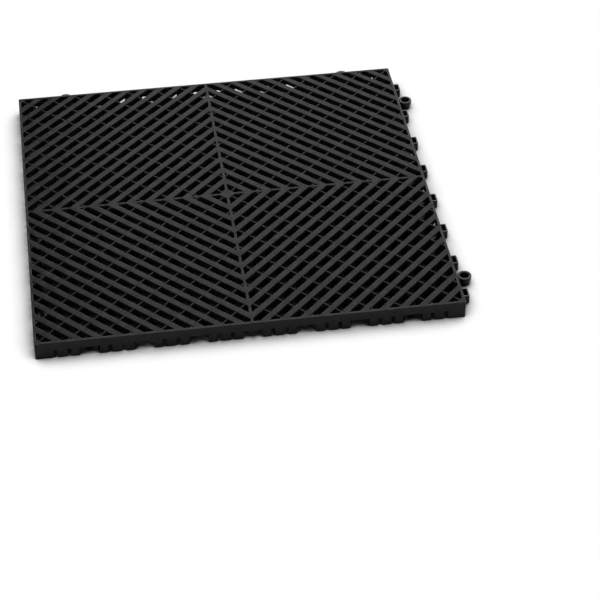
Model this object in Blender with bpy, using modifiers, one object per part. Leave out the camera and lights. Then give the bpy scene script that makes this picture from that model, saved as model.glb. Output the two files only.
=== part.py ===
"""Drainage floor tile: a square snap-together tile with a diamond rib grating.

The real tile is one moulded piece. It is modelled in four quarters that meet in a hairline
seam beside the centre spines. Each quarter is built in its own frame, with its corner of the
tile towards +X and +Y, and is then turned about the tile's middle by 0, 90, 180 or 270 degrees.
Units are metres, +Z is up, and the origin is the middle of the underside.
"""
import math

import bmesh
import bpy
from mathutils import Matrix, Vector

# Tile body
SIDE = 0.400
HEIGHT = 0.018
SEAM_GAP = 0.0003

# Grating: flat ribs at 45 degrees round the middle, and thin deep fins across them
RIB_PITCH = 0.01313
RIB_WIDTH = 0.0063
RIB_DEPTH = 0.0050
RIB_DRAFT = 0.0004
FIN_PITCH = 0.0198
FIN_THICKNESS = 0.0014
SPINE_WIDTH = 0.0028
DRAIN_GAP = 0.0025
LEG_LENGTH = 0.0080
RIBS_PER_LEG = 3
FINS_PER_LEG = 2
CENTRE_FOOT_RADIUS = 0.0050

# Skirt round the edge
SKIRT_THICKNESS = 0.0024
SKIRT_DEPTH = 0.0090
TAB_CHAMFER = 0.0010

# Snap groups along each edge: a peg between two tabs, and the square loop that takes the peg
GROUP_PITCH = 0.050
TAB_NEAR = 0.0080
TAB_FAR = 0.0158
LOOP_WIDTH = 0.0120
LOOP_WALL = 0.0012
LOOP_REACH = 0.0080
LOOP_CORNER = 0.0010
PEG_CLEARANCE = 0.0003
PEG_TIP_WIDTH = 0.0054
PEG_SHOULDER = 0.0040
LOOP_CLEARANCE = 0.0006

# Round eyelets beside the outermost groups, and the pins that drop into them
EYELET_REACH = 0.00935
EYELET_DIAMETER = 0.0136
EYELET_WALL = 0.0015
EYELET_STEP = 0.0012
EYELET_STEP_HEIGHT = 0.0040
EYELET_NECK = 0.0050
EYELET_SIDES = 16
PIN_CLEARANCE = 0.0003
PIN_DRAFT = 0.0004
PIN_SIDES = 12

COLLECTION_NAME = "drainage_floor_tile"
CUTTER_COLLECTION_NAME = "cutters"
PLASTIC_COLOUR = (0.012, 0.012, 0.013, 1.0)
PLASTIC_ROUGHNESS = 0.5
WELD_DISTANCE = 0.00001
GRID_PLACES = 7
FLAT_ANGLE = 0.0005
PAST = 0.0010

# Sizes that follow from the ones above
EDGE = SIDE / 2
SKIRT_BOTTOM = HEIGHT - SKIRT_DEPTH
SKIRT_MIDDLE = EDGE - SKIRT_THICKNESS / 2
RIB_BOTTOM = HEIGHT - RIB_DEPTH
SPINE_HALF = SPINE_WIDTH / 2
GROUP_CENTRES = [(i + 0.5) * GROUP_PITCH for i in range(int(EDGE / GROUP_PITCH))]
CORNER_START = GROUP_CENTRES[-1] + TAB_NEAR
EYELET_PLACE = GROUP_CENTRES[-1] - GROUP_PITCH / 2
EYELET_RADIUS = EYELET_DIAMETER / 2
PIN_RADIUS = EYELET_RADIUS - EYELET_WALL - EYELET_STEP - PIN_CLEARANCE

# Name of each quarter, its turn, and whether its +X and +Y edges carry loops or pegs
QUARTERS = (
    ("quarter_back_right", 0, "loops", "loops"),
    ("quarter_back_left", 90, "loops", "pegs"),
    ("quarter_front_left", 180, "pegs", "pegs"),
    ("quarter_front_right", 270, "pegs", "loops"),
)

# A quarter's edges as matrices: the first axis runs along the edge from the middle of the
# tile, the second points out of it, and the third is up
ALONG_Y_EDGE = Matrix.Identity(4)
ALONG_X_EDGE = Matrix(((0, 1, 0, 0), (1, 0, 0, 0), (0, 0, 1, 0), (0, 0, 0, 1)))
DIAGONAL = Matrix.Rotation(math.radians(45), 4, "Z")

# Stands a flat outline up: its second axis becomes the height, and it faces towards -Y
UPRIGHT = Matrix(((1, 0, 0, 0), (0, 0, -1, 0), (0, 1, 0, 0), (0, 0, 0, 1)))


def clear_scene():
    for item in list(bpy.data.objects):
        bpy.data.objects.remove(item)


def make_collection(name):
    collection = bpy.data.collections.new(name)
    bpy.context.scene.collection.children.link(collection)
    return collection


def make_material(name):
    material = bpy.data.materials.new(name)
    material.use_nodes = True
    shader = material.node_tree.nodes["Principled BSDF"]
    shader.inputs["Base Color"].default_value = PLASTIC_COLOUR
    shader.inputs["Roughness"].default_value = PLASTIC_ROUGHNESS
    shader.inputs["Metallic"].default_value = 0.0
    return material


def finish_mesh(bm, name, matrix):
    """Turn a bmesh into an object of the cutter collection, with its faces pointing out."""
    bm.transform(matrix)
    for vertex in bm.verts:
        vertex.co = [round(value, GRID_PLACES) for value in vertex.co]
    bmesh.ops.recalc_face_normals(bm, faces=bm.faces)
    mesh = bpy.data.meshes.new(name)
    bm.to_mesh(mesh)
    bm.free()
    made = bpy.data.objects.new(name, mesh)
    made.display_type = "WIRE"
    made.hide_render = True
    bpy.data.collections[CUTTER_COLLECTION_NAME].objects.link(made)
    return made


def add_box(bm, low, high):
    """Add a box between two corners and return its vertices."""
    low, high = Vector(low), Vector(high)
    place = Matrix.Translation((low + high) / 2) @ Matrix.Diagonal((*(high - low), 1))
    return bmesh.ops.create_cube(bm, size=1.0, matrix=place)["verts"]


def box(name, low, high, matrix=Matrix.Identity(4)):
    bm = bmesh.new()
    add_box(bm, low, high)
    return finish_mesh(bm, name, matrix)


def cylinder(name, radius_low, radius_high, sides, centre, low, high, matrix=Matrix.Identity(4)):
    bm = bmesh.new()
    place = Matrix.Translation((*centre, (low + high) / 2))
    bmesh.ops.create_cone(bm, cap_ends=True, segments=sides, radius1=radius_low,
                          radius2=radius_high, depth=high - low, matrix=place)
    return finish_mesh(bm, name, matrix)


def evaluated_mesh(source):
    graph = bpy.context.evaluated_depsgraph_get()
    return bpy.data.meshes.new_from_object(source.evaluated_get(graph))


def plate(name, outline, low, high, matrix=Matrix.Identity(4)):
    """Extrude a flat outline from one height to another, then place it."""
    curve = bpy.data.curves.new(name, "CURVE")
    curve.dimensions = "2D"
    curve.fill_mode = "BOTH"
    curve.extrude = (high - low) / 2
    spline = curve.splines.new("POLY")
    spline.points.add(len(outline) - 1)
    for point, (x, y) in zip(spline.points, outline):
        point.co = (x, y, 0, 1)
    spline.use_cyclic_u = True
    drawn = bpy.data.objects.new(name, curve)
    bpy.data.collections[CUTTER_COLLECTION_NAME].objects.link(drawn)
    bpy.context.view_layer.update()
    bm = bmesh.new()
    bm.from_mesh(evaluated_mesh(drawn))
    bpy.data.objects.remove(drawn)
    bmesh.ops.remove_doubles(bm, verts=bm.verts, dist=WELD_DISTANCE)
    for side in (-1, 1):
        cap = [face for face in bm.faces if all(vertex.co.z * side > 0 for vertex in face.verts)]
        bmesh.ops.dissolve_faces(bm, faces=cap)
    lift = Matrix.Translation((0, 0, (low + high) / 2))
    return finish_mesh(bm, name, matrix @ lift)


def turned(name, profile, sides, centre, matrix):
    """Turn a closed profile of radius and height about an upright axis."""
    mesh = bpy.data.meshes.new(name)
    count = len(profile)
    loop = [(i, (i + 1) % count) for i in range(count)]
    mesh.from_pydata([(radius, 0, height) for radius, height in profile], loop, [])
    drawn = bpy.data.objects.new(name, mesh)
    bpy.data.collections[CUTTER_COLLECTION_NAME].objects.link(drawn)
    screw = drawn.modifiers.new("turn", "SCREW")
    screw.steps = sides
    screw.render_steps = sides
    screw.use_merge_vertices = True
    screw.merge_threshold = WELD_DISTANCE
    bpy.context.view_layer.update()
    bm = bmesh.new()
    bm.from_mesh(evaluated_mesh(drawn))
    bpy.data.objects.remove(drawn)
    return finish_mesh(bm, name, matrix @ Matrix.Translation((*centre, 0)))


def joined(pieces):
    """Put pieces that don't touch into one object."""
    first = pieces[0]
    bm = bmesh.new()
    for piece in pieces:
        bm.from_mesh(piece.data)
    bm.to_mesh(first.data)
    bm.free()
    for piece in pieces[1:]:
        bpy.data.objects.remove(piece)
    return first


def combine(target, other, operation):
    """Apply a Boolean of one object to another, and remove the other."""
    modifier = target.modifiers.new("boolean", "BOOLEAN")
    modifier.operation = operation
    modifier.solver = "EXACT"
    modifier.object = other
    bpy.context.view_layer.update()
    mesh = evaluated_mesh(target)
    target.modifiers.clear()
    target.data = mesh
    bpy.data.objects.remove(other)
    return target


def merge_flat_faces(target):
    """Join the flat faces that the Booleans split."""
    bm = bmesh.new()
    bm.from_mesh(target.data)
    bmesh.ops.dissolve_limit(bm, angle_limit=FLAT_ANGLE, verts=bm.verts, edges=bm.edges)
    bm.to_mesh(target.data)
    bm.free()


def rib_count():
    return int(EDGE * math.sqrt(2) / RIB_PITCH) + 1


def ribs():
    """The flat ribs, a little narrower at the bottom, across the quarter's diagonal."""
    bm = bmesh.new()
    for number in range(1, rib_count()):
        near = number * RIB_PITCH
        low = (near, -SIDE, RIB_BOTTOM)
        high = (near + RIB_WIDTH, SIDE, HEIGHT)
        for vertex in add_box(bm, low, high):
            if vertex.co.z < HEIGHT - RIB_DEPTH / 2:
                vertex.co.x += RIB_DRAFT if vertex.co.x < near + RIB_WIDTH / 2 else -RIB_DRAFT
    return finish_mesh(bm, "ribs", DIAGONAL)


def fin_outline(has_legs):
    """A fin seen from its side: distance from the tile's middle, and height."""
    far = SIDE
    outline = [(0, HEIGHT), (0, DRAIN_GAP)]
    if has_legs:
        for number in range(RIBS_PER_LEG, rib_count(), RIBS_PER_LEG):
            middle = number * RIB_PITCH + RIB_WIDTH / 2
            near_leg, far_leg = middle - LEG_LENGTH / 2, middle + LEG_LENGTH / 2
            outline += [(near_leg, DRAIN_GAP), (near_leg, 0), (far_leg, 0), (far_leg, DRAIN_GAP)]
    return outline + [(far, DRAIN_GAP), (far, HEIGHT)]


def fins():
    """The thin fins that run along the quarter's diagonal, some of them with legs."""
    reach = int(EDGE / math.sqrt(2) / FIN_PITCH)
    pieces = []
    for number in range(-reach, reach + 1):
        middle = number * FIN_PITCH
        has_legs = number % FINS_PER_LEG == 0
        low, high = -middle - FIN_THICKNESS / 2, -middle + FIN_THICKNESS / 2
        pieces.append(plate("fin", fin_outline(has_legs), low, high, DIAGONAL @ UPRIGHT))
    return joined(pieces)


def centre_diamond(grow, low):
    """The solid diamond in the middle of the tile, and its outline grown by a gap."""
    half = RIB_WIDTH + grow
    return box("centre_diamond", (-half, -half, low), (half, half, HEIGHT + grow), DIAGONAL)


def grating(edges):
    """Ribs and fins of one quarter, cut to its region, with room for the neighbour's loops."""
    made = combine(ribs(), fins(), "UNION")
    low = (SPINE_HALF + SEAM_GAP, -SPINE_HALF, -PAST)
    high = (SKIRT_MIDDLE, SKIRT_MIDDLE, HEIGHT + PAST)
    made = combine(made, box("region", low, high), "INTERSECT")
    for kind, along in edges:
        if kind == "pegs":
            for room in neighbour_room(along):
                made = combine(made, room, "DIFFERENCE")
    return made


def neighbour_room(along):
    """The space under a pegged edge that the next tile's loops and eyelet take."""
    top = SKIRT_BOTTOM + LOOP_CLEARANCE
    loops = []
    half = LOOP_WIDTH / 2 + LOOP_CLEARANCE
    depth = EDGE - LOOP_REACH - LOOP_CLEARANCE
    for centre in GROUP_CENTRES:
        loops.append(box("loop_room", (centre - half, depth, -PAST), (centre + half, EDGE, top), along))
    radius = EYELET_RADIUS + LOOP_CLEARANCE
    middle = EDGE - EYELET_REACH
    bowl = cylinder("eyelet_room", radius, radius, EYELET_SIDES, (EYELET_PLACE, middle), -PAST, top, along)
    way = box("eyelet_way", (EYELET_PLACE - radius, middle, -PAST), (EYELET_PLACE + radius, EDGE, top), along)
    return [joined(loops), bowl, way]


def spine():
    """The centre spine along the quarter's +X side, deep and standing on legs."""
    start = SPINE_HALF + SEAM_GAP
    outline = [(start, HEIGHT), (start, DRAIN_GAP)]
    step = RIBS_PER_LEG * RIB_PITCH * math.sqrt(2)
    middle = step
    while middle < CORNER_START:
        near_leg, far_leg = middle - LEG_LENGTH / 2, middle + LEG_LENGTH / 2
        outline += [(near_leg, DRAIN_GAP), (near_leg, 0), (far_leg, 0), (far_leg, DRAIN_GAP)]
        middle += step
    outline += [(SKIRT_MIDDLE, DRAIN_GAP), (SKIRT_MIDDLE, HEIGHT)]
    return plate("spine", outline, -SPINE_HALF, SPINE_HALF, UPRIGHT)


def tab(near, far, chamfer):
    """Lower edge of a tab that reaches the floor, from its near side to its far side."""
    return [(near, SKIRT_BOTTOM), (near, chamfer), (near + chamfer, 0),
            (far - chamfer, 0), (far, chamfer), (far, SKIRT_BOTTOM)]


def peg(centre):
    """Lower edge of a peg, with slanted shoulders that lead it into the loop."""
    half = LOOP_WIDTH / 2 - LOOP_WALL - PEG_CLEARANCE
    tip = PEG_TIP_WIDTH / 2
    return [(centre - half, SKIRT_BOTTOM), (centre - half, PEG_SHOULDER), (centre - tip, 0),
            (centre + tip, 0), (centre + half, PEG_SHOULDER), (centre + half, SKIRT_BOTTOM)]


def corner_block():
    """Lower edge of the full-height corner, which ends the skirt."""
    return [(CORNER_START, SKIRT_BOTTOM), (CORNER_START, TAB_CHAMFER),
            (CORNER_START + TAB_CHAMFER, 0), (EDGE, 0)]


def pegged_skirt_outline(start):
    outline = [(start, HEIGHT), (start, SKIRT_BOTTOM)]
    for centre in GROUP_CENTRES:
        outline += tab(centre - TAB_FAR, centre - TAB_NEAR, TAB_CHAMFER)
        outline += peg(centre)
        if centre != GROUP_CENTRES[-1]:
            outline += tab(centre + TAB_NEAR, centre + TAB_FAR, TAB_CHAMFER)
    return outline + corner_block() + [(EDGE, HEIGHT)]


def looped_skirt_outline(start):
    outline = [(start, HEIGHT), (start, SKIRT_BOTTOM)]
    neck = EYELET_NECK / 2
    for centre in GROUP_CENTRES:
        if centre == GROUP_CENTRES[-1]:
            near, far = EYELET_PLACE - neck, EYELET_PLACE + neck
            outline += [(near, SKIRT_BOTTOM), (near, EYELET_STEP_HEIGHT),
                        (far, EYELET_STEP_HEIGHT), (far, SKIRT_BOTTOM)]
        near, far = centre - LOOP_WIDTH / 2, centre + LOOP_WIDTH / 2
        outline += [(near, SKIRT_BOTTOM), (near, 0), (far, 0), (far, SKIRT_BOTTOM)]
    return outline + corner_block() + [(EDGE, HEIGHT)]


def skirt(kind, start, along):
    """One edge's skirt, cut from a flat outline that stands upright in the edge."""
    outline = pegged_skirt_outline(start) if kind == "pegs" else looped_skirt_outline(start)
    return plate("skirt", outline, -EDGE, SKIRT_THICKNESS - EDGE, along @ UPRIGHT)


def loop_outline(centre):
    """A square loop seen from above: three walls that stand out from the edge."""
    half, tip = LOOP_WIDTH / 2, EDGE + LOOP_REACH
    inner = half - LOOP_WALL
    return [(centre - half, SKIRT_MIDDLE), (centre - half, tip - LOOP_CORNER),
            (centre - half + LOOP_CORNER, tip), (centre + half - LOOP_CORNER, tip),
            (centre + half, tip - LOOP_CORNER), (centre + half, SKIRT_MIDDLE),
            (centre + inner, SKIRT_MIDDLE), (centre + inner, tip - LOOP_WALL),
            (centre - inner, tip - LOOP_WALL), (centre - inner, SKIRT_MIDDLE)]


def loops(along):
    pieces = [plate("loop", loop_outline(centre), 0, SKIRT_BOTTOM, along) for centre in GROUP_CENTRES]
    return joined(pieces)


def eyelet(along):
    """A round eyelet whose lower half steps in, on a short neck."""
    inner = EYELET_RADIUS - EYELET_WALL
    step = EYELET_STEP_HEIGHT
    profile = [(EYELET_RADIUS, SKIRT_BOTTOM), (EYELET_RADIUS, step),
               (EYELET_RADIUS - EYELET_STEP, step), (EYELET_RADIUS - EYELET_STEP, 0),
               (inner - EYELET_STEP, 0), (inner - EYELET_STEP, step),
               (inner, step + EYELET_STEP), (inner, SKIRT_BOTTOM)]
    middle = EDGE + EYELET_REACH
    ring = turned("eyelet", profile, EYELET_SIDES, (EYELET_PLACE, middle), along)
    half = EYELET_NECK / 2
    low = (EYELET_PLACE - half, SKIRT_MIDDLE, step)
    high = (EYELET_PLACE + half, middle - EYELET_RADIUS + EYELET_WALL / 2, SKIRT_BOTTOM)
    return combine(ring, box("neck", low, high, along), "UNION")


def pin(along):
    """The pin under a pegged edge that drops into the next tile's eyelet."""
    place = (EYELET_PLACE, EDGE - EYELET_REACH)
    return cylinder("pin", PIN_RADIUS - PIN_DRAFT, PIN_RADIUS, PIN_SIDES, place,
                    DRAIN_GAP, RIB_BOTTOM + RIB_DEPTH / 2, along)


def quarter(name, turn, x_kind, y_kind, material, collection):
    """One quarter of the tile: grating, spine, two skirts and their snap fittings."""
    edges = ((x_kind, ALONG_X_EDGE), (y_kind, ALONG_Y_EDGE))
    made = grating(edges)
    made = combine(made, spine(), "UNION")
    for kind, along in edges:
        start = -SPINE_HALF if along is ALONG_X_EDGE else SPINE_HALF + SEAM_GAP
        made = combine(made, skirt(kind, start, along), "UNION")
        fittings = (loops(along), eyelet(along)) if kind == "loops" else (pin(along),)
        for fitting in fittings:
            made = combine(made, fitting, "UNION")
    if turn == 0:
        made = combine(made, centre_diamond(0, RIB_BOTTOM), "UNION")
        foot = cylinder("centre_foot", CENTRE_FOOT_RADIUS, CENTRE_FOOT_RADIUS, PIN_SIDES,
                        (0, 0), 0, HEIGHT - RIB_DEPTH / 2)
        made = combine(made, foot, "UNION")
    else:
        made = combine(made, centre_diamond(SEAM_GAP, -PAST), "DIFFERENCE")
    merge_flat_faces(made)
    made.name = name
    made.data.name = name
    made.data.transform(Matrix.Rotation(math.radians(turn), 4, "Z"))
    made.data.materials.clear()
    made.data.materials.append(material)
    made.display_type = "TEXTURED"
    made.hide_render = False
    bpy.data.collections[CUTTER_COLLECTION_NAME].objects.unlink(made)
    collection.objects.link(made)
    return made


def main():
    clear_scene()
    collection = make_collection(COLLECTION_NAME)
    make_collection(CUTTER_COLLECTION_NAME)
    for name, turn, x_kind, y_kind in QUARTERS:
        quarter(name, turn, x_kind, y_kind, make_material(name + "_plastic"), collection)


main()
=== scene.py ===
"""Looks of the drainage floor tile: one seamless moulding with rounded edges in a black plastic
with scuffed rims that also carry a painted highlight, on a white floor in soft studio light.

Units are metres, +Z is up, and the origin is the middle of the tile's underside.
"""
import math

import bmesh
import bpy
from mathutils import Matrix, Vector


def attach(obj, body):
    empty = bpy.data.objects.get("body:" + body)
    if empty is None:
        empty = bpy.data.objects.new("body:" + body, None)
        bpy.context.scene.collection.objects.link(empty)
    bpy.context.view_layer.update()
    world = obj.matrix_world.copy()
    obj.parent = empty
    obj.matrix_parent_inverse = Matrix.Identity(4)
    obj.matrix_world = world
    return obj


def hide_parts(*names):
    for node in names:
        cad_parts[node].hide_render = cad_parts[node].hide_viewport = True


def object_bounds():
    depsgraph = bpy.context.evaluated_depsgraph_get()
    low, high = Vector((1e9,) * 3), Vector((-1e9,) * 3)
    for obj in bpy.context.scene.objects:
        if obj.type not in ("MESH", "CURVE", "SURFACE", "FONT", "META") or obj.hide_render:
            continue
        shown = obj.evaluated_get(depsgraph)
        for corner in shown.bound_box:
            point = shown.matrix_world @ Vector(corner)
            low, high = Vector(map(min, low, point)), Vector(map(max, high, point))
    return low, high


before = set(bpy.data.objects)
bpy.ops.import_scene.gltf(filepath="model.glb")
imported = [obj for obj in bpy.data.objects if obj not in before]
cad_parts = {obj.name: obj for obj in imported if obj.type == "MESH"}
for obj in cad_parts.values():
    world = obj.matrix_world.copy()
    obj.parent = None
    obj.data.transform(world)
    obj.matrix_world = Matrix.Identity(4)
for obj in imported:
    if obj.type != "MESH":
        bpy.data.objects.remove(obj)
cad_bounds = [list(corner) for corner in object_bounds()]

NODES = ("quarter_back_right", "quarter_back_left", "quarter_front_left", "quarter_front_right")

# Tile body
HEIGHT = cad_bounds[1][2]
EDGE = -cad_bounds[0][0]

# Grating
RIB_PITCH = 0.01313
RIB_WIDTH = 0.0063
RIB_DEPTH = 0.0050
RIB_DRAFT = 0.0004
RIB_ROUND = 0.00045
FIN_PITCH = 0.0198
FIN_THICKNESS = 0.0014
FIN_DRAFT = 0.0001
FIN_ROUND = 0.00030
FIN_DROP = 0.00045
SPINE_WIDTH = 0.0028
QUARTER_INSET = SPINE_WIDTH / 8
DRAIN_GAP = 0.0025
LEG_LENGTH = 0.0080
LEG_CHAMFER = 0.0005
RIBS_PER_LEG = 3
FINS_PER_LEG = 2
CENTRE_FOOT_RADIUS = 0.0050

# Skirt and its fittings
SKIRT_THICKNESS = 0.0024
SKIRT_DEPTH = 0.0090
SKIRT_ROUND = 0.0006
GROUP_PITCH = 0.050
TAB_NEAR = 0.0080
TAB_FAR = 0.0158
TAB_CHAMFER = 0.0010
LOOP_WIDTH = 0.0120
LOOP_WALL = 0.0012
LOOP_REACH = 0.0080
LOOP_CORNER = 0.0010
PEG_CLEARANCE = 0.0003
PEG_TIP_WIDTH = 0.0054
PEG_SHOULDER = 0.0040
LOOP_CLEARANCE = 0.0006
EYELET_REACH = 0.00935
EYELET_DIAMETER = 0.0136
EYELET_RIM = 0.0024
EYELET_ROUND = 0.0006
EYELET_BORE = 0.0082
EYELET_TUBE_WALL = 0.0009
EYELET_STEP_HEIGHT = 0.0040
EYELET_NECK = 0.0050
PIN_CLEARANCE = 0.0003
PIN_DRAFT = 0.0004
SMALL_ROUND = 0.00025
LOOP_ROUND = 0.00020
CORNER_ROUND = 0.0012

# How fine round forms are
ROUND_SIDES = 32
CORNER_STEPS = 3
PEG_STEPS = 4
ROUND_STEPS = 2
RIM_STEPS = 4

# Small offsets that keep joined shapes from sharing a face
ROOT_MARGIN = 0.0004
FACE_STEP = 0.0001
# How far a shape runs past the one that it joins or that cuts it
PAST = 0.0010
# The grid that points are snapped to, and its decimals
GRID = 0.0000001
GRID_PLACES = 7

PIECE = "tile_moulding"
# Turns of a back-edge shape, in degrees, that bring it to each edge of a kind
LOOPED_TURNS = (0, -90)
PEGGED_TURNS = (90, 180)

# Plastic: colours as linear values, and noise scales per metre, each with its detail
PLASTIC_DARK = (0.0065, 0.0065, 0.0069, 1)
PLASTIC_LIGHT = (0.0190, 0.0190, 0.0198, 1)
# The next colour is scuffs on edges, and also a painted highlight on thin rims, loops and eyelets
PLASTIC_WORN_AND_HIGHLIGHT = (0.160, 0.160, 0.163, 1)
PLASTIC_SPECULAR = 0.12
ROUGH_LOW, ROUGH_HIGH = 0.17, 0.23
PATCH_SCALE, PATCH_DETAIL = 130, 2
FLOW_SCALE, FLOW_DETAIL = 90, 4
FLOW_STRETCH = (1.0, 0.25, 1.0)
GRAIN_SCALE, GRAIN_DETAIL, GRAIN_STRENGTH, GRAIN_HEIGHT = 2600, 3, 0.30, 0.00008
SINK_SCALE, SINK_DETAIL, SINK_STRENGTH, SINK_HEIGHT = 50, 1, 0.35, 0.0006
# The part of a noise's range that is spread over what it drives
NOISE_LOW, NOISE_HIGH = 0.35, 0.65
FLOW_LOW, FLOW_HIGH = 0.3, 0.7

# Scuffs, with a painted highlight on rims. Occlusion inside the plastic finds thin places: its
# values where the lightening is at its full and where it ends
WEAR_HIGHLIGHT_REACH = 0.0016
WEAR_HIGHLIGHT_SAMPLES = 8
WEAR_HIGHLIGHT_FULL, WEAR_HIGHLIGHT_NONE = 0.60, 0.95
# Strength over the noise, the grating's share of it, and the loops' and eyelets' share, raised
# there for a painted highlight
WEAR_HIGHLIGHT_SCALE, WEAR_HIGHLIGHT_DETAIL = 900, 3
WEAR_HIGHLIGHT_LEAST, WEAR_HIGHLIGHT_MOST = 0.22, 0.38
WEAR_HIGHLIGHT_INSIDE = 0.06
WEAR_HIGHLIGHT_FITTINGS = 3.3
# Height of the normal on faces where scuffs and the painted highlight begin, and where they are at
# their full
WEAR_HIGHLIGHT_UPRIGHT, WEAR_HIGHLIGHT_LEVEL = 0.30, 0.75
# Edges sharper than this stay crisp in the shading
SHARP_ANGLE = math.radians(50)

# Floor: its glow is the white that shows, and occlusion fades it into a painted shadow. SHADOW_DARK
# and SHADOW_CLEAR are the occlusion values where the painted shadow is black and where it ends
FLOOR_COLOUR = (0.02, 0.02, 0.02, 1)
FLOOR_GLOW = 0.99
SHADOW_REACH = 0.035
SHADOW_DARK, SHADOW_CLEAR = 0.42, 0.87
FLOOR_HALF = 15.0
FLOOR_DROP = 0.0002

# Light: the world's level, the white backdrop's level, and the sines of the elevations up to
# which the backdrop is full and at which it ends
WHITE = (1, 1, 1, 1)
WORLD_LEVEL = 0.40
BACKDROP_LEVEL = 1.0
BACKDROP_LOW, BACKDROP_HIGH = 0.10, 0.40
# Name, azimuth from +Y towards +X and elevation in degrees, distance and size in metres, radiance
SOFTBOXES = (
    ("back_softbox", 10.5, 48, 3.0, (1.3, 2.4), 1.45),
    ("rim_strip", 10, 12, 3.5, (3.2, 0.5), 5.0),
    ("top_softbox", 0, 90, 2.5, (2.0, 2.0), 2.0),
)

# Camera, in the photograph's place
CAMERA_PLACE = (-0.14669, -1.50811, 1.15153)
CAMERA_ANGLES = (49.946, 0.176, -8.434)
CAMERA_LENS = 113.65
CAMERA_SENSOR = 36.0

SKIRT_BOTTOM = HEIGHT - SKIRT_DEPTH
SKIRT_MIDDLE = EDGE - SKIRT_THICKNESS / 2
RIB_BOTTOM = HEIGHT - RIB_DEPTH
CORNER_REACH = EDGE * math.sqrt(2)
GROUP_CENTRES = [(i + 0.5) * GROUP_PITCH for i in range(int(EDGE / GROUP_PITCH))]
CORNER_START = GROUP_CENTRES[-1] + TAB_NEAR
EYELET_PLACE = GROUP_CENTRES[-1] - GROUP_PITCH / 2
EYELET_RADIUS = EYELET_DIAMETER / 2

DIAGONAL = Matrix.Rotation(math.radians(45), 4, "Z")
# Stands a flat outline up: its second axis becomes the height, and it faces towards -Y
UPRIGHT = Matrix(((1, 0, 0, 0), (0, 0, -1, 0), (0, 1, 0, 0), (0, 0, 0, 1)))


def link(name, bm):
    """Turn a bmesh into an object in the scene."""
    mesh = bpy.data.meshes.new(name)
    bm.to_mesh(mesh)
    bm.free()
    made = bpy.data.objects.new(name, mesh)
    bpy.context.scene.collection.objects.link(made)
    return made


def place(bm, matrix):
    """Turn or move a bmesh, and snap it to a fine grid."""
    bm.transform(matrix)
    for vertex in bm.verts:
        vertex.co = [round(value, GRID_PLACES) for value in vertex.co]
    return bm


def outward(bm):
    """Make the faces of one closed body point out."""
    bmesh.ops.recalc_face_normals(bm, faces=bm.faces)
    if bm.calc_volume(signed=True) < 0:
        bmesh.ops.reverse_faces(bm, faces=bm.faces)
    return bm


def prism(outline, low, high):
    """Extrude a flat outline in X and Y from one height to another."""
    bm = bmesh.new()
    face = bm.faces.new([bm.verts.new((x, y, low)) for x, y in outline])
    raised = bmesh.ops.extrude_face_region(bm, geom=[face])["geom"]
    corners = [item for item in raised if isinstance(item, bmesh.types.BMVert)]
    bmesh.ops.translate(bm, verts=corners, vec=(0, 0, high - low))
    return outward(bm)


def round_edges(bm, radius, chosen, steps=ROUND_STEPS):
    """Round the edges that a test picks."""
    edges = [edge for edge in bm.edges if chosen(edge)]
    bmesh.ops.bevel(bm, geom=edges, offset=radius, segments=steps, profile=0.5, affect="EDGES")
    return bm


def merged(meshes):
    """Put several bmeshes into one."""
    whole = meshes[0]
    for other in meshes[1:]:
        copy = bpy.data.meshes.new("part")
        other.to_mesh(copy)
        other.free()
        whole.from_mesh(copy)
        bpy.data.meshes.remove(copy)
    return whole


def combine(target, others, operation):
    """Apply one Boolean of several objects to another, and remove them."""
    collection = bpy.data.collections.new("operands")
    for other in others:
        collection.objects.link(other)
    modifier = target.modifiers.new("boolean", "BOOLEAN")
    modifier.operation = operation
    modifier.solver = "EXACT"
    modifier.operand_type = "COLLECTION"
    modifier.collection = collection
    bpy.context.view_layer.update()
    graph = bpy.context.evaluated_depsgraph_get()
    mesh = bpy.data.meshes.new_from_object(target.evaluated_get(graph))
    target.modifiers.clear()
    target.data = mesh
    for other in others:
        bpy.data.objects.remove(other)
    bpy.data.collections.remove(collection)
    return target


def arc(across, height, radius, start, end, steps):
    """Points on an arc round a centre, from one angle in degrees to another."""
    points = []
    for step in range(steps + 1):
        angle = math.radians(start + (end - start) * step / steps)
        points.append((across + radius * math.cos(angle), height + radius * math.sin(angle)))
    return points


def bar_profile(half, top, bottom, draft, radius):
    """Section of a moulded bar: narrower at the bottom, with round top edges."""
    across, height = half - radius, top - radius
    return ([(-half + draft, bottom)] + arc(-across, height, radius, 180, 90, ROUND_STEPS)
            + arc(across, height, radius, 90, 0, ROUND_STEPS) + [(half - draft, bottom)])


def bar(half, top, bottom, draft, radius, start, end):
    """A bar along X from start to end, centred on Y = 0."""
    bm = prism(bar_profile(half, top, bottom, draft, radius), start, end)
    along_x = Matrix(((0, 0, 1, 0), (1, 0, 0, 0), (0, 1, 0, 0), (0, 0, 0, 1)))
    bm.transform(along_x)
    return bm


def ribs():
    """The flat ribs of one quarter, across its diagonal, with X as the distance from the middle."""
    pieces = []
    count = int(CORNER_REACH / RIB_PITCH) + 1
    turn = Matrix.Rotation(math.radians(90), 4, "Z")
    for number in range(1, count):
        near = number * RIB_PITCH
        middle = near + RIB_WIDTH / 2
        reach = min(near + RIB_WIDTH, CORNER_REACH - near) + PAST
        piece = bar(RIB_WIDTH / 2, HEIGHT, RIB_BOTTOM, RIB_DRAFT, RIB_ROUND, -reach, reach)
        piece.transform(Matrix.Translation((middle, 0, 0)) @ turn)
        pieces.append(piece)
    return merged(pieces), count


def leg(middle):
    """A short foot under a fin, along X."""
    low, high = middle - LEG_LENGTH / 2, middle + LEG_LENGTH / 2
    outline = [(low, DRAIN_GAP + PAST), (low, LEG_CHAMFER), (low + LEG_CHAMFER, 0),
               (high - LEG_CHAMFER, 0), (high, LEG_CHAMFER), (high, DRAIN_GAP + PAST)]
    half = FIN_THICKNESS / 2 - FIN_DRAFT / 2
    bm = prism(outline, -half, half)
    bm.transform(UPRIGHT)
    return bm


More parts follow.
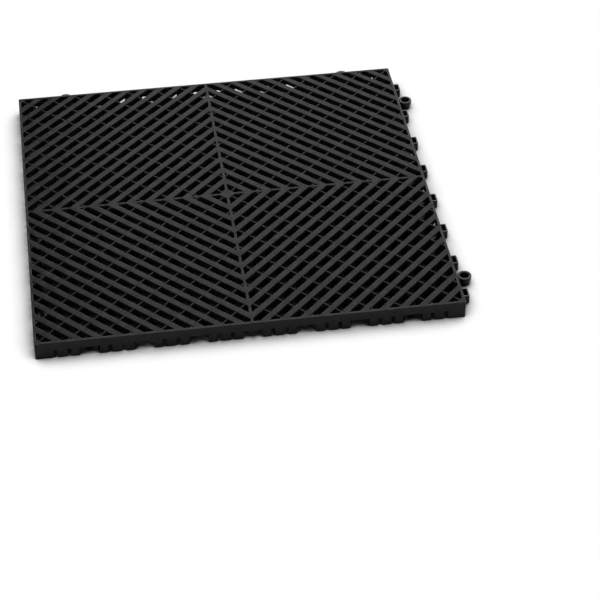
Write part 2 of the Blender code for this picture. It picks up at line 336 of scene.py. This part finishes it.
def fins(rib_total):
    """The thin fins of one quarter along its diagonal, and their legs."""
    bars, legs = [], []
    reach = int(CORNER_REACH / 2 / FIN_PITCH)
    for number in range(-reach, reach + 1):
        shift = Matrix.Translation((0, number * FIN_PITCH, 0))
        start = abs(number) * FIN_PITCH
        end = CORNER_REACH - start
        piece = bar(FIN_THICKNESS / 2, HEIGHT - FIN_DROP, DRAIN_GAP, FIN_DRAFT, FIN_ROUND,
                    start - PAST, end + PAST)
        piece.transform(shift)
        bars.append(piece)
        if number % FINS_PER_LEG:
            continue
        for rib in range(RIBS_PER_LEG, rib_total, RIBS_PER_LEG):
            middle = rib * RIB_PITCH + RIB_WIDTH / 2
            if start < middle - LEG_LENGTH and middle + LEG_LENGTH < end:
                foot = leg(middle)
                foot.transform(shift)
                legs.append(foot)
    return merged(bars), merged(legs)


def quarter_grating():
    """Ribs, fins and legs of the quarter towards +X and +Y."""
    rib_mesh, rib_total = ribs()
    fin_mesh, leg_mesh = fins(rib_total)
    target = link("grating", place(rib_mesh, DIAGONAL))
    fin_bars = link("fins", place(fin_mesh, DIAGONAL))
    feet = link("legs", place(leg_mesh, DIAGONAL))
    combine(target, [fin_bars, feet], "UNION")
    low, high = QUARTER_INSET, SKIRT_MIDDLE
    region = prism([(low, low), (high, low), (high, high), (low, high)], -PAST, HEIGHT + PAST)
    return combine(target, [link("region", place(region, Matrix.Identity(4)))], "INTERSECT")


def spine_legs():
    """Feet under the spine that runs along X."""
    step = RIBS_PER_LEG * RIB_PITCH * math.sqrt(2)
    count = int(CORNER_START / step)
    return merged([leg(side * number * step) for number in range(1, count + 1) for side in (-1, 1)])


def tab(near, far, chamfer):
    """Lower edge of a tab that reaches the floor, from its near side to its far side."""
    return [(near, SKIRT_BOTTOM), (near, chamfer), (near + chamfer, 0),
            (far - chamfer, 0), (far, chamfer), (far, SKIRT_BOTTOM)]


def peg(centre):
    """Lower edge of a peg, with round shoulders that lead it into the loop."""
    half = LOOP_WIDTH / 2 - LOOP_WALL - PEG_CLEARANCE
    shoulder = half - PEG_TIP_WIDTH / 2
    left, right = [], []
    for step in range(PEG_STEPS + 1):
        angle = math.radians(90) * step / PEG_STEPS
        inward, height = shoulder * (1 - math.cos(angle)), PEG_SHOULDER * (1 - math.sin(angle))
        left.append((centre - half + inward, height))
        right.insert(0, (centre + half - inward, height))
    return [(centre - half, SKIRT_BOTTOM)] + left + right + [(centre + half, SKIRT_BOTTOM)]


def corner_block():
    """Lower edge of the full-height corner, which ends the skirt."""
    return [(CORNER_START, SKIRT_BOTTOM), (CORNER_START, TAB_CHAMFER),
            (CORNER_START + TAB_CHAMFER, 0), (EDGE, 0)]


def pegged_half():
    """Lower edge of half a pegged skirt, from the middle of the edge to its corner."""
    outline = []
    for centre in GROUP_CENTRES:
        outline += tab(centre - TAB_FAR, centre - TAB_NEAR, TAB_CHAMFER)
        outline += peg(centre)
        if centre != GROUP_CENTRES[-1]:
            outline += tab(centre + TAB_NEAR, centre + TAB_FAR, TAB_CHAMFER)
    return outline + corner_block()


def looped_half():
    """Lower edge of half a looped skirt, from the middle of the edge to its corner."""
    outline = []
    neck = EYELET_NECK / 2
    for centre in GROUP_CENTRES:
        if centre == GROUP_CENTRES[-1]:
            near, far = EYELET_PLACE - neck - ROOT_MARGIN, EYELET_PLACE + neck + ROOT_MARGIN
            outline += [(near, SKIRT_BOTTOM), (near, EYELET_STEP_HEIGHT),
                        (far, EYELET_STEP_HEIGHT), (far, SKIRT_BOTTOM)]
        near, far = centre - LOOP_WIDTH / 2 - ROOT_MARGIN, centre + LOOP_WIDTH / 2 + ROOT_MARGIN
        outline += [(near, SKIRT_BOTTOM), (near, 0), (far, 0), (far, SKIRT_BOTTOM)]
    return outline + corner_block()


def skirt(half):
    """A whole skirt at the back edge, its lower edges a little rounded."""
    lower = [(-x, z) for x, z in reversed(half)] + half
    outline = lower + [(EDGE, HEIGHT), (-EDGE, HEIGHT)]
    bm = prism(outline, -EDGE, SKIRT_THICKNESS - EDGE)

    def along_a_face(edge):
        ends = [vertex.co for vertex in edge.verts]
        return ends[0].z == ends[1].z and min(end.y for end in ends) < SKIRT_BOTTOM + TAB_CHAMFER

    round_edges(bm, SMALL_ROUND, along_a_face)
    bm.transform(UPRIGHT)
    return bm


def rounded_slab():
    """The outer shape of the tile's body: round corners, and a round top edge."""
    low, high = -EDGE, EDGE
    bm = prism([(low, low), (high, low), (high, high), (low, high)], -PAST, HEIGHT)

    def upright(edge):
        return edge.verts[0].co.z != edge.verts[1].co.z

    def on_top(edge):
        return all(vertex.co.z > HEIGHT - GRID for vertex in edge.verts)

    round_edges(bm, CORNER_ROUND, upright, CORNER_STEPS)
    return round_edges(bm, SKIRT_ROUND, on_top, CORNER_STEPS)


def loop(centre):
    """A square loop that stands out of the back edge, with a softened rim."""
    half, tip = LOOP_WIDTH / 2, EDGE + LOOP_REACH
    inner, root = half - LOOP_WALL, SKIRT_MIDDLE
    outline = [(centre - half, root), (centre - half, tip - LOOP_CORNER),
               (centre - half + LOOP_CORNER, tip), (centre + half - LOOP_CORNER, tip),
               (centre + half, tip - LOOP_CORNER), (centre + half, root),
               (centre + inner, root), (centre + inner, tip - LOOP_WALL),
               (centre - inner, tip - LOOP_WALL), (centre - inner, root)]
    bm = prism(outline, FACE_STEP, SKIRT_BOTTOM - FACE_STEP)

    def on_rim(edge):
        ends = [vertex.co for vertex in edge.verts]
        return ends[0].z == ends[1].z and max(end.y for end in ends) > root + GRID

    return round_edges(bm, LOOP_ROUND, on_rim)


def turned(profile, centre):
    """Turn a closed profile of radius and height about an upright axis."""
    bm = bmesh.new()
    corners = [bm.verts.new((radius, 0, height)) for radius, height in profile]
    edges = [bm.edges.new((corners[i - 1], corners[i])) for i in range(len(corners))]
    bmesh.ops.spin(bm, geom=corners + edges, cent=(0, 0, 0), axis=(0, 0, 1),
                   angle=math.radians(360), steps=ROUND_SIDES, use_merge=True)
    bmesh.ops.remove_doubles(bm, verts=bm.verts, dist=GRID)
    bm.transform(Matrix.Translation((*centre, 0)))
    return outward(bm)


def eyelet():
    """A thick round ring with a soft rim, on a thinner tube, at the back edge."""
    outer = EYELET_RADIUS
    inner = outer - EYELET_RIM
    bore = EYELET_BORE / 2
    tube = bore + EYELET_TUBE_WALL
    height, step, soft = SKIRT_BOTTOM - EYELET_ROUND, EYELET_STEP_HEIGHT, SMALL_ROUND
    profile = arc(inner + EYELET_ROUND, height, EYELET_ROUND, 180, 90, RIM_STEPS)
    profile += arc(outer - EYELET_ROUND, height, EYELET_ROUND, 90, 0, RIM_STEPS)
    profile += [(outer, step + soft), (outer - soft, step), (tube, step), (tube, soft),
                (tube - soft, 0), (bore, 0), (bore, step), (inner, step + inner - bore)]
    return turned(profile, (EYELET_PLACE, EDGE + EYELET_REACH))


def eyelet_neck():
    """The bridge between the skirt and an eyelet's ring."""
    low, high = EYELET_PLACE - EYELET_NECK / 2, EYELET_PLACE + EYELET_NECK / 2
    near, far = SKIRT_MIDDLE, EDGE + EYELET_REACH - EYELET_RADIUS + EYELET_ROUND
    return prism([(low, near), (high, near), (high, far), (low, far)],
                 EYELET_STEP_HEIGHT + FACE_STEP, SKIRT_BOTTOM - FACE_STEP)


def pin():
    """The pin under a pegged edge, drawn at the back edge."""
    radius = EYELET_BORE / 2 - PIN_CLEARANCE
    tip, top = DRAIN_GAP, RIB_BOTTOM + PAST
    profile = [(radius, top), (radius - PIN_DRAFT, tip + PIN_DRAFT), (radius - 2 * PIN_DRAFT, tip)]
    bm = bmesh.new()
    rings = []
    for ring_radius, height in profile:
        centre = Matrix.Translation((EYELET_PLACE, EDGE - EYELET_REACH, height))
        ring = bmesh.ops.create_circle(bm, segments=ROUND_SIDES, radius=ring_radius, matrix=centre)
        rings.append(ring["verts"])
    for upper, lower in zip(rings, rings[1:]):
        for i in range(ROUND_SIDES):
            bm.faces.new((upper[i - 1], upper[i], lower[i], lower[i - 1]))
    bm.faces.new(rings[0])
    bm.faces.new(rings[-1])
    return outward(bm)


def neighbour_room():
    """The space under a pegged edge for the next tile's fittings, drawn at the back edge."""
    top = SKIRT_BOTTOM + LOOP_CLEARANCE
    pieces = []
    inner = EDGE - LOOP_REACH - LOOP_CLEARANCE
    outer = EDGE - SKIRT_THICKNESS
    half = LOOP_WIDTH / 2 + LOOP_CLEARANCE
    for centre in GROUP_CENTRES:
        low, high = centre - half, centre + half
        pieces.append(prism([(low, inner), (high, inner), (high, outer), (low, outer)], -PAST, top))
    middle = EDGE - EYELET_REACH
    radius = EYELET_RADIUS + LOOP_CLEARANCE
    round_end = arc(EYELET_PLACE, middle, radius, 0, -180, ROUND_SIDES // 2)
    outline = [(EYELET_PLACE + radius, outer)] + round_end + [(EYELET_PLACE - radius, outer)]
    pieces.append(prism(outline, -PAST, top))
    return merged(pieces)


def turned_copy(bm, degrees, mirrored=False):
    """A copy of a back-edge or quarter shape, turned about the tile's middle."""
    copy = bm.copy()
    if mirrored:
        copy.transform(Matrix.Diagonal((-1, 1, 1, 1)))
        bmesh.ops.reverse_faces(copy, faces=copy.faces)
    return place(copy, Matrix.Rotation(math.radians(degrees), 4, "Z"))


def around(bm, turns, both_halves=True):
    """Copies of a shape at several edges, and mirrored into the other half of each."""
    copies = []
    for degrees in turns:
        copies.append(turned_copy(bm, degrees))
        if both_halves:
            copies.append(turned_copy(bm, degrees, mirrored=True))
    bm.free()
    return merged(copies)


def whole_grating():
    """The four quarters of the grating, with room cut for the neighbours' fittings."""
    target = quarter_grating()
    bm = bmesh.new()
    bm.from_mesh(target.data)
    whole = merged([turned_copy(bm, degrees) for degrees in (0, 90, 180, 270)])
    bm.free()
    bpy.data.objects.remove(target)
    target = link(PIECE, whole)
    return combine(target, [link("room", around(neighbour_room(), PEGGED_TURNS))], "DIFFERENCE")


def spines():
    """The two spines that cross in the middle, their legs, and the centre diamond on its foot."""
    half = SPINE_WIDTH / 2
    quarter_turn = Matrix.Rotation(math.radians(90), 4, "Z")
    shapes = []
    for turn in (Matrix.Identity(4), quarter_turn):
        beam = bar(half, HEIGHT, DRAIN_GAP, FIN_DRAFT, RIB_ROUND, -SKIRT_MIDDLE, SKIRT_MIDDLE)
        shapes.append(link("spine", place(beam, turn)))
        shapes.append(link("spine_legs", place(spine_legs(), turn)))
    side = RIB_WIDTH
    outline = [(-side, -side), (side, -side), (side, side), (-side, side)]
    diamond = prism(outline, RIB_BOTTOM, HEIGHT)
    round_edges(diamond, RIB_ROUND, lambda edge: all(v.co.z > HEIGHT - GRID for v in edge.verts))
    shapes.append(link("diamond", place(diamond, DIAGONAL)))
    foot = bmesh.new()
    bmesh.ops.create_cone(foot, cap_ends=True, segments=ROUND_SIDES, radius1=CENTRE_FOOT_RADIUS,
                          radius2=CENTRE_FOOT_RADIUS, depth=HEIGHT - PAST,
                          matrix=Matrix.Translation((0, 0, (HEIGHT - PAST) / 2)))
    shapes.append(link("foot", place(foot, Matrix.Identity(4))))
    return shapes


def rim():
    """The four skirts, joined at the corners and given the body's rounded outer shape."""
    walls = []
    for half, turns in ((pegged_half(), PEGGED_TURNS), (looped_half(), LOOPED_TURNS)):
        shape = skirt(half)
        walls += [link("skirt", turned_copy(shape, degrees)) for degrees in turns]
        shape.free()
    target = walls.pop()
    combine(target, walls, "UNION")
    return combine(target, [link("slab", place(rounded_slab(), Matrix.Identity(4)))], "INTERSECT")


def tile_moulding():
    """The whole tile as one closed mesh."""
    target = whole_grating()
    fittings = [
        link("loops", around(merged([loop(centre) for centre in GROUP_CENTRES]), LOOPED_TURNS)),
        link("eyelets", around(eyelet(), LOOPED_TURNS)),
        link("necks", around(eyelet_neck(), LOOPED_TURNS)),
        link("pins", around(pin(), PEGGED_TURNS)),
    ]
    return combine(target, [rim()] + spines() + fittings, "UNION")


def shader_of(material):
    return material.node_tree.nodes["Principled BSDF"]


def new_material(name):
    material = bpy.data.materials.new(name)
    material.use_nodes = True
    return material


def add_node(material, kind, **inputs):
    """Add a shader node and set its inputs by name, with spaces written as underscores."""
    node = material.node_tree.nodes.new(kind)
    for key, value in inputs.items():
        node.inputs[key.replace("_", " ")].default_value = value
    return node


def noise(material, scale, detail, stretch=(1, 1, 1)):
    """Noise over the object's own coordinates, in metres, and its output."""
    links = material.node_tree.links
    position = add_node(material, "ShaderNodeTexCoord")
    mapping = add_node(material, "ShaderNodeMapping", Scale=stretch)
    texture = add_node(material, "ShaderNodeTexNoise", Scale=scale, Detail=detail)
    links.new(position.outputs["Object"], mapping.inputs["Vector"])
    links.new(mapping.outputs["Vector"], texture.inputs["Vector"])
    return texture.outputs["Fac"]


def map_range(material, source, low, high, from_low=0.0, from_high=1.0):
    """Spread a value over a new range and keep it in there."""
    node = add_node(material, "ShaderNodeMapRange", From_Min=from_low, From_Max=from_high,
                    To_Min=low, To_Max=high)
    material.node_tree.links.new(source, node.inputs["Value"])
    return node.outputs["Result"]


def multiply(material, first, second):
    node = add_node(material, "ShaderNodeMath")
    node.operation = "MULTIPLY"
    for source, socket in zip((first, second), node.inputs):
        material.node_tree.links.new(source, socket)
    return node.outputs["Value"]


def shows_white(owner):
    """One for rays that see the white background: from the camera, a reflection or clear glass."""
    path = add_node(owner, "ShaderNodeLightPath")
    seen = path.outputs["Is Camera Ray"]
    for other in ("Is Glossy Ray", "Is Transmission Ray"):
        either = add_node(owner, "ShaderNodeMath")
        either.operation = "MAXIMUM"
        owner.node_tree.links.new(seen, either.inputs[0])
        owner.node_tree.links.new(path.outputs[other], either.inputs[1])
        seen = either.outputs["Value"]
    return seen


def edge_wear_and_highlight(material):
    """How scuffed a place is, with a painted highlight: top faces of thin rims and edges, mostly
    round the tile, in noise.
    """
    links = material.node_tree.links
    thin = add_node(material, "ShaderNodeAmbientOcclusion", Distance=WEAR_HIGHLIGHT_REACH)
    thin.inside = thin.only_local = True
    thin.samples = WEAR_HIGHLIGHT_SAMPLES
    near_edge = map_range(material, thin.outputs["AO"], 1.0, 0.0, WEAR_HIGHLIGHT_FULL, WEAR_HIGHLIGHT_NONE)
    patches = map_range(material, noise(material, WEAR_HIGHLIGHT_SCALE, WEAR_HIGHLIGHT_DETAIL), WEAR_HIGHLIGHT_LEAST, WEAR_HIGHLIGHT_MOST,
                        NOISE_LOW, NOISE_HIGH)
    position = add_node(material, "ShaderNodeTexCoord")
    facing = add_node(material, "ShaderNodeSeparateXYZ")
    links.new(position.outputs["Normal"], facing.inputs["Vector"])
    upward = map_range(material, facing.outputs["Z"], 0.0, 1.0, WEAR_HIGHLIGHT_UPRIGHT, WEAR_HIGHLIGHT_LEVEL)
    distance = add_node(material, "ShaderNodeVectorMath")
    distance.operation = "ABSOLUTE"
    split = add_node(material, "ShaderNodeSeparateXYZ")
    farthest = add_node(material, "ShaderNodeMath")
    farthest.operation = "MAXIMUM"
    links.new(position.outputs["Object"], distance.inputs[0])
    links.new(distance.outputs["Vector"], split.inputs["Vector"])
    links.new(split.outputs["X"], farthest.inputs[0])
    links.new(split.outputs["Y"], farthest.inputs[1])
    # Little on the grating, more from the skirt outwards, and most on the loops and eyelets, where
    # it is mostly a painted highlight
    outer_share = map_range(material, farthest.outputs["Value"], WEAR_HIGHLIGHT_INSIDE, 1.0,
                        EDGE - 2 * SKIRT_THICKNESS, EDGE - SKIRT_THICKNESS)
    fittings_share = map_range(material, farthest.outputs["Value"], 1.0, WEAR_HIGHLIGHT_FITTINGS,
                        EDGE, EDGE + LOOP_WALL)
    wear_and_highlight = near_edge
    for factor in (patches, upward, outer_share, fittings_share):
        wear_and_highlight = multiply(material, wear_and_highlight, factor)
    return wear_and_highlight


def plastic_material():
    """Near-black moulded polypropylene: fine grain, flow marks, and scuffed edges with a painted
    highlight on rims, loops and eyelets.
    """
    material = new_material("moulded_plastic")
    links = material.node_tree.links
    shader = shader_of(material)
    shader.inputs["Specular IOR Level"].default_value = PLASTIC_SPECULAR

    wear_and_highlight = edge_wear_and_highlight(material)
    tint = map_range(material, noise(material, PATCH_SCALE, PATCH_DETAIL), 0.0, 1.0,
                     NOISE_LOW, NOISE_HIGH)
    body = add_node(material, "ShaderNodeMix")
    body.data_type = "RGBA"
    body.inputs["A"].default_value = PLASTIC_DARK
    body.inputs["B"].default_value = PLASTIC_LIGHT
    links.new(tint, body.inputs["Factor"])
    # Scuffs and a painted highlight on rims lighten the body colour
    worn_and_highlight = add_node(material, "ShaderNodeMix")
    worn_and_highlight.data_type = "RGBA"
    worn_and_highlight.inputs["B"].default_value = PLASTIC_WORN_AND_HIGHLIGHT
    links.new(wear_and_highlight, worn_and_highlight.inputs["Factor"])
    links.new(body.outputs["Result"], worn_and_highlight.inputs["A"])
    links.new(worn_and_highlight.outputs["Result"], shader.inputs["Base Color"])

    flow = noise(material, FLOW_SCALE, FLOW_DETAIL, stretch=FLOW_STRETCH)
    rough = map_range(material, flow, ROUGH_LOW, ROUGH_HIGH, FLOW_LOW, FLOW_HIGH)
    links.new(rough, shader.inputs["Roughness"])

    grain = add_node(material, "ShaderNodeBump", Strength=GRAIN_STRENGTH, Distance=GRAIN_HEIGHT)
    links.new(noise(material, GRAIN_SCALE, GRAIN_DETAIL), grain.inputs["Height"])
    sink = add_node(material, "ShaderNodeBump", Strength=SINK_STRENGTH, Distance=SINK_HEIGHT)
    links.new(noise(material, SINK_SCALE, SINK_DETAIL), sink.inputs["Height"])
    links.new(grain.outputs["Normal"], sink.inputs["Normal"])
    links.new(sink.outputs["Normal"], shader.inputs["Normal"])
    return material


def floor_material():
    """A floor that glows white to the eye and in reflections, with a painted shadow round and under
    the tile.
    """
    material = new_material("floor_paper")
    nodes, links = material.node_tree.nodes, material.node_tree.links
    nodes.remove(shader_of(material))
    paper = add_node(material, "ShaderNodeBsdfDiffuse", Color=FLOOR_COLOUR)
    glow = add_node(material, "ShaderNodeEmission")
    # Occlusion dims the glow: a painted shadow round and under the tile
    cover = add_node(material, "ShaderNodeAmbientOcclusion", Distance=SHADOW_REACH)
    open_floor = map_range(material, cover.outputs["AO"], 0.0, FLOOR_GLOW,
                           SHADOW_DARK, SHADOW_CLEAR)
    links.new(multiply(material, shows_white(material), open_floor), glow.inputs["Strength"])
    both = add_node(material, "ShaderNodeAddShader")
    links.new(paper.outputs["BSDF"], both.inputs[0])
    links.new(glow.outputs["Emission"], both.inputs[1])
    links.new(both.outputs["Shader"], nodes["Material Output"].inputs["Surface"])
    return material


def smooth_shading(piece):
    """Smooth the rounded edges and keep the flat faces flat."""
    mesh = piece.data
    mesh.shade_smooth()
    mesh.set_sharp_from_angle(angle=SHARP_ANGLE)
    piece.modifiers.new("weighted_normals", "WEIGHTED_NORMAL").keep_sharp = True


def tile():
    """The finished tile, which stands in for all four quarters of the CAD model."""
    piece = tile_moulding()
    smooth_shading(piece)
    piece.data.materials.clear()
    piece.data.materials.append(plastic_material())
    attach(piece, "root")
    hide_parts(*NODES)
    return piece


def stage_floor():
    """The wide flat floor, just below the tile's feet."""
    bm = bmesh.new()
    bmesh.ops.create_grid(bm, x_segments=1, y_segments=1, size=FLOOR_HALF)
    floor = link("floor", bm)
    floor.data.materials.append(floor_material())
    floor.location.z = -FLOOR_DROP


def softbox(name, azimuth, elevation, distance, size, radiance):
    """A soft rectangular lamp that points at the middle of the tile."""
    lamp = bpy.data.lights.new(name, "AREA")
    lamp.shape = "RECTANGLE"
    lamp.size, lamp.size_y = size
    lamp.energy = radiance * math.pi * size[0] * size[1]
    made = bpy.data.objects.new(name, lamp)
    turn, lift = math.radians(azimuth), math.radians(elevation)
    flat = math.cos(lift)
    direction = Vector((math.sin(turn) * flat, math.cos(turn) * flat, math.sin(lift)))
    made.location = direction * distance
    made.rotation_euler = direction.to_track_quat("Z", "Y").to_euler()
    bpy.context.scene.collection.objects.link(made)


def studio():
    """Even light all round, the lamps, and a low white backdrop for the eye and reflections."""
    world = bpy.data.worlds.new("studio")
    world.use_nodes = True
    links = world.node_tree.links
    background = world.node_tree.nodes["Background"]
    background.inputs["Color"].default_value = WHITE
    direction = add_node(world, "ShaderNodeTexCoord")
    split = add_node(world, "ShaderNodeSeparateXYZ")
    links.new(direction.outputs["Generated"], split.inputs["Vector"])
    low_down = map_range(world, split.outputs["Z"], 1.0, 0.0, BACKDROP_LOW, BACKDROP_HIGH)
    backdrop = multiply(world, shows_white(world), low_down)
    level = map_range(world, backdrop, WORLD_LEVEL, BACKDROP_LEVEL)
    links.new(level, background.inputs["Strength"])
    bpy.context.scene.world = world
    for settings in SOFTBOXES:
        softbox(*settings)
    bpy.context.scene.view_settings.view_transform = "Standard"


def camera():
    """The camera that was fitted to the photograph."""
    lens = bpy.data.cameras.new("camera")
    lens.lens = CAMERA_LENS
    lens.sensor_width = CAMERA_SENSOR
    made = bpy.data.objects.new("camera", lens)
    made.location = CAMERA_PLACE
    made.rotation_euler = [math.radians(angle) for angle in CAMERA_ANGLES]
    bpy.context.scene.collection.objects.link(made)
    bpy.context.scene.camera = made


camera()
stage_floor()
studio()
tile()
